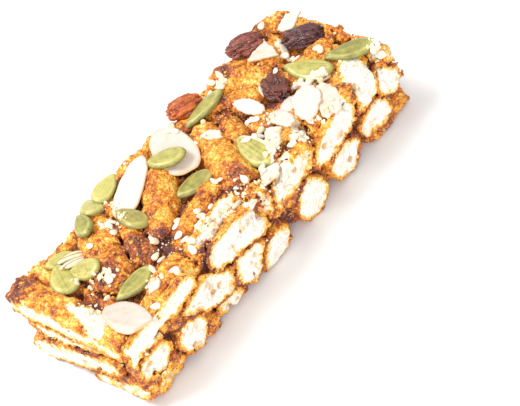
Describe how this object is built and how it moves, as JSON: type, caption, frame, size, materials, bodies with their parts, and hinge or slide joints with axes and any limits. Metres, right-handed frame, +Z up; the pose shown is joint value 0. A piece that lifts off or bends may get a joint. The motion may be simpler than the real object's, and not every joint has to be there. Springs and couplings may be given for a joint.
{
  "type": "seed bar",
  "caption": "Crunchy bar of puffed cereal strands in syrup, cut to a block, its top set with pumpkin kernels, almond flakes, sesame and raisins.",
  "frame": {"origin": "middle of the box round the whole bar, at the height of its base", "axes": "+X along the bar towards the end with the raisins, +Z up through the topping"},
  "size_m": [0.1246, 0.0512, 0.0267],
  "materials": {
    "toasted_strands": "puffed cereal with a toasted syrup skin, cream foam where the knife has cut it",
    "dried_fruit": "wrinkled, slightly glossy raisin skin",
    "pumpkin_kernel": "olive green kernel skin with a soft sheen",
    "almond_flake": "smooth cream-white nut",
    "sesame_seed": "smooth cream seed",
    "foam_crumb": "dry white foam of the puffed strands"
  },
  "bodies": {
    "root": {"bar": "toasted_strands", "raisin_1": "dried_fruit", "raisin_2": "dried_fruit", "raisin_3": "dried_fruit", "raisin_4": "dried_fruit"}
  },
  "joints": []
}
